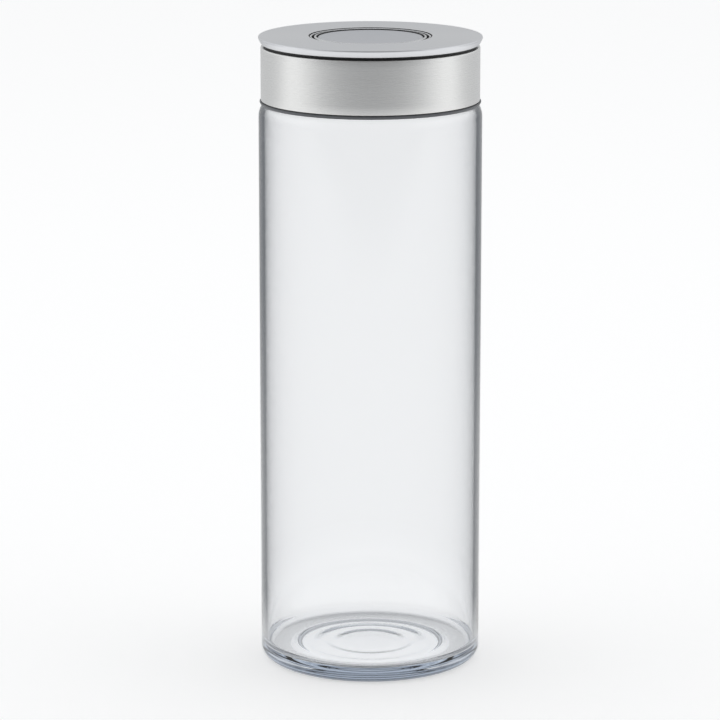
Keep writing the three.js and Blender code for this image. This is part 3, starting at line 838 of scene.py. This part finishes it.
def make_plug_base():
    low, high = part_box("plug_base")
    r, foot, boss_top = high[0] / MM, low[2] / MM, high[2] / MM
    top = foot + 1.8
    outline = [(0, foot + 0.25), (1.2, foot + 0.25), (1.6, foot), (12, foot), (26, foot)]
    outline += arc(r - 0.6, foot + 0.6, 0.6, -90, 0, 8)
    outline += [(r, top + 0.85), (r - 0.15, top + 1.0), (r - 0.5, top + 1.0), (r - 0.5, top)]
    outline += [(9.4, top), (9.4, top + 1.45), (9.25, top + 1.6), (8.35, top + 1.6)]
    outline += [(8.2, top + 1.45), (8.2, top), (0, top)]
    base = turn("white_plug_base", outline)
    bosses = [pin(3.2, top - 0.5, boss_top, x, y) for x, y in cover_posts]
    bosses.append(pin(1.7, top - 0.5, top + 3.0, 0, wire_y, 32))
    for boss in bosses:
        soften(boss, 0.15)
    shape_with(base, bosses, "UNION")
    pilots = [pin(1.3, boss_top - 3.1, boss_top + 0.5, x, y, 32) for x, y in cover_posts]
    pilots.append(pin(0.75, top, top + 3.5, 0, wire_y, 24))
    shape_with(base, pilots, "DIFFERENCE")
    base.data.materials.append(white_moulding)
    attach(base, "lid")
    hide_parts("plug_base")


make_plug_base()


# ---- Mouth seal ---------------------------------------------------------------------------
# Clear silicone: a foot held on the plug base, and a soft lip that reaches the neck's bore.
# The driver's cone backs it from inside when the button is down.
def clear_silicone():
    paint, tree, shader = new_paint("clear_silicone", (0.86, 0.87, 0.88), 0.35)
    shader.inputs["Transmission Weight"].default_value = 0.55
    shader.inputs["IOR"].default_value = 1.41
    place = tree.nodes.new("ShaderNodeTexCoord")
    haze = tree.nodes.new("ShaderNodeTexNoise")
    haze.inputs["Scale"].default_value = 220
    haze.inputs["Detail"].default_value = 3
    link(tree, place, "Object", haze, "Vector")
    gloss = ramp_between(tree, haze, "Fac", (0.3, 0.7), (0.28, 0.46))
    link(tree, gloss, "Result", shader, "Roughness")
    skin = tree.nodes.new("ShaderNodeBump")
    skin.inputs["Strength"].default_value = 0.3
    skin.inputs["Distance"].default_value = 0.02 * MM
    link(tree, haze, "Fac", skin, "Height")
    link(tree, skin, "Normal", shader, "Normal")
    return paint


def make_seal():
    low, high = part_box("mouth_seal")
    lip, foot, top = high[0] / MM, low[2] / MM, high[2] / MM
    body_r, bore_foot, bore_top = lip - 0.9, 38.2, 38.9
    middle = foot + (top - foot) * 0.6
    outline = [(bore_foot, foot), (body_r, foot), (body_r, middle - 2.0)]
    outline += [(body_r + 0.3, middle - 1.6), (lip - 0.2, middle - 0.9)]
    outline += arc(lip - 0.3, middle, 0.3, -60, 60, 6)
    outline += [(lip - 0.3, middle + 0.9), (body_r, middle + 1.5)]
    outline += [(body_r, top - 0.15), (body_r - 0.15, top), (bore_top, top)]
    seal = turn("clear_mouth_seal", outline)
    seal.data.materials.append(clear_silicone())
    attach(seal, "lid")
    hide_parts("mouth_seal")


make_seal()


# ---- Seal driver --------------------------------------------------------------------------
# White moulded ring-plate screwed under the plunger. Its conical rim pushes the seal out, and
# it has holes that clear the housing's posts.
def make_seal_driver():
    low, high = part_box("seal_driver")
    rim, foot, rim_top = high[0] / MM, low[2] / MM, high[2] / MM
    plate_top, hub_top = foot + 2.0, foot + 3.0
    foot_r, hub_r, hole = rim - 0.7, 24.4, 13.0
    outline = [
        (hole, foot), (foot_r, foot), (rim, rim_top), (rim - 1.6, rim_top),
        (foot_r - 1.6, plate_top), (hub_r, plate_top), (hub_r, hub_top), (hole, hub_top)]
    driver = turn("white_seal_driver", outline)
    soften(driver, 0.15)
    cuts = [pin(3.8, foot - 0.5, rim_top + 0.5, x, y) for x, y in cover_posts]
    cuts += [pin(1.3, foot - 0.5, hub_top + 0.5, x, y, 32) for x, y in driver_posts]
    cuts += [pin(2.3, foot - 0.5, foot + 1.6, x, y) for x, y in driver_posts]
    shape_with(driver, cuts, "DIFFERENCE")
    driver.data.materials.append(white_moulding)
    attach(driver, "button")
    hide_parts("seal_driver")


make_seal_driver()


# ---- Heart cam ----------------------------------------------------------------------------
# Small moulded block in the plunger's socket. The latch wire's tip runs in its heart-shaped
# track: the CAD shape is the real one, so it stays and takes its finish here.
def dress(node, paint):
    """Gives a carried-over CAD node its finish."""
    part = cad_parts[node]
    for slot in part.material_slots:
        slot.material = paint


dress("heart_cam", white_moulding)


# ---- Screws -------------------------------------------------------------------------------
# Small pan-head thread-forming screws with a cross recess: four hold the plug base to the
# housing's posts, and three hold the driver to the plunger.
def drawn_steel(name, base, roughness):
    """Bright steel wire or wire-formed work: fine draw marks and a little unevenness."""
    paint, tree, shader = new_paint(name, base, roughness, 1.0)
    place = tree.nodes.new("ShaderNodeTexCoord")
    marks = tree.nodes.new("ShaderNodeTexNoise")
    marks.inputs["Scale"].default_value = 1500
    marks.inputs["Detail"].default_value = 3
    link(tree, place, "Object", marks, "Vector")
    gloss = ramp_between(tree, marks, "Fac", (0.3, 0.7), (roughness - 0.08, roughness + 0.12))
    link(tree, gloss, "Result", shader, "Roughness")
    skin = tree.nodes.new("ShaderNodeBump")
    skin.inputs["Strength"].default_value = 0.3
    skin.inputs["Distance"].default_value = 0.01 * MM
    link(tree, marks, "Fac", skin, "Height")
    link(tree, skin, "Normal", shader, "Normal")
    return paint


def make_screw(name, x, y, seat, length, points_up):
    """A screw with its head's underside at a height, its point down or up."""
    core, crest, head, head_height, point, pitch = 0.78, 1.0, 2.0, 1.6, 0.8, 0.65
    outline = [(0, seat - length), (core * 0.5, seat - length + point * 0.6)]
    z = seat - length + point
    while z < seat - 0.7:
        outline += [(core, z), (crest, z + pitch * 0.42), (crest, z + pitch * 0.52)]
        z += pitch
    outline += [(core, z), (core, seat - 0.15), (core + 0.1, seat), (head - 0.1, seat)]
    outline += [(head, seat + 0.1), (head, seat + head_height * 0.55)]
    outline += arc(head - 0.7, seat + head_height - 0.72, 0.7, 10, 80, 5)
    outline += [(head * 0.3, seat + head_height), (0, seat + head_height)]
    screw = turn(name, outline, sides=40)
    recess = [slab(2.0, 0.45, seat + head_height - 0.9, seat + head_height + 0.5),
              slab(0.45, 2.0, seat + head_height - 0.9, seat + head_height + 0.5)]
    shape_with(screw, recess, "DIFFERENCE")
    bpy.ops.object.mode_set(mode="EDIT")
    bpy.ops.mesh.select_all(action="SELECT")
    if points_up:
        bpy.ops.transform.rotate(value=math.pi, orient_axis="X", center_override=(0, 0, seat * MM))
    bpy.ops.transform.translate(value=(x * MM, y * MM, 0))
    bpy.ops.object.mode_set(mode="OBJECT")
    screw.data.materials.append(screw_steel)
    return screw


screw_steel = drawn_steel("screw_steel", (0.55, 0.55, 0.56), 0.32)
for i, (x, y) in enumerate(cover_posts, 1):
    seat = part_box("plug_base")[1][2] / MM + 1.8
    screw = make_screw(f"steel_cover_screw_{i}", x, y, seat, 4.6, points_up=False)
    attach(screw, "lid")
    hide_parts(f"cover_screw_{i}")
for i, (x, y) in enumerate(driver_posts, 1):
    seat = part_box("seal_driver")[0][2] / MM + 1.6
    screw = make_screw(f"steel_driver_screw_{i}", x, y, seat, 6.0, points_up=True)
    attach(screw, "button")
    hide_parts(f"driver_screw_{i}")


# ---- Return spring and latch wire ---------------------------------------------------------
# Stainless spring wire. The coil lifts the plunger when the latch lets go, and the straight
# wire's bent tip follows the heart cam.
spring_wire = drawn_steel("spring_wire", (0.50, 0.50, 0.51), 0.25)


def make_spring():
    mean, wire, turns = 10.6, 1.2, 5
    base_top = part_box("plug_base")[0][2] / MM + 1.8
    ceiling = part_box("plunger")[1][2] / MM - 2.0
    start = base_top + wire / 2 + 0.3
    rise = ceiling - base_top - wire - 0.6
    bpy.ops.object.select_all(action="DESELECT")
    bpy.ops.mesh.primitive_circle_add(
        vertices=14, radius=wire / 2 * MM * 0.99, fill_type="NGON",
        location=(mean * MM, 0, start * MM), rotation=(math.radians(90), 0, 0))
    spring = bpy.context.object
    spring.name = "coiled_return_spring"
    bpy.ops.object.transform_apply(location=True, rotation=True, scale=False)
    coil = spring.modifiers.new("coil", "SCREW")
    coil.axis = "Z"
    coil.angle = 2 * math.pi
    coil.iterations = turns
    coil.screw_offset = rise / turns * MM
    coil.steps = coil.render_steps = 64
    coil.use_merge_vertices = False
    bpy.ops.object.modifier_apply(modifier="coil")
    bpy.ops.object.mode_set(mode="EDIT")
    bpy.ops.mesh.select_all(action="SELECT")
    bpy.ops.mesh.remove_doubles(threshold=1e-7)
    bpy.ops.mesh.select_all(action="DESELECT")
    bpy.ops.mesh.select_non_manifold()
    bpy.ops.mesh.edge_face_add()
    bpy.ops.mesh.select_all(action="SELECT")
    bpy.ops.mesh.normals_make_consistent(inside=False)
    bpy.ops.object.mode_set(mode="OBJECT")
    bpy.ops.object.shade_smooth_by_angle(angle=math.radians(50))
    spring.data.materials.append(spring_wire)
    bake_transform(spring)
    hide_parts("return_spring")


make_spring()
dress("latch_wire", spring_wire)
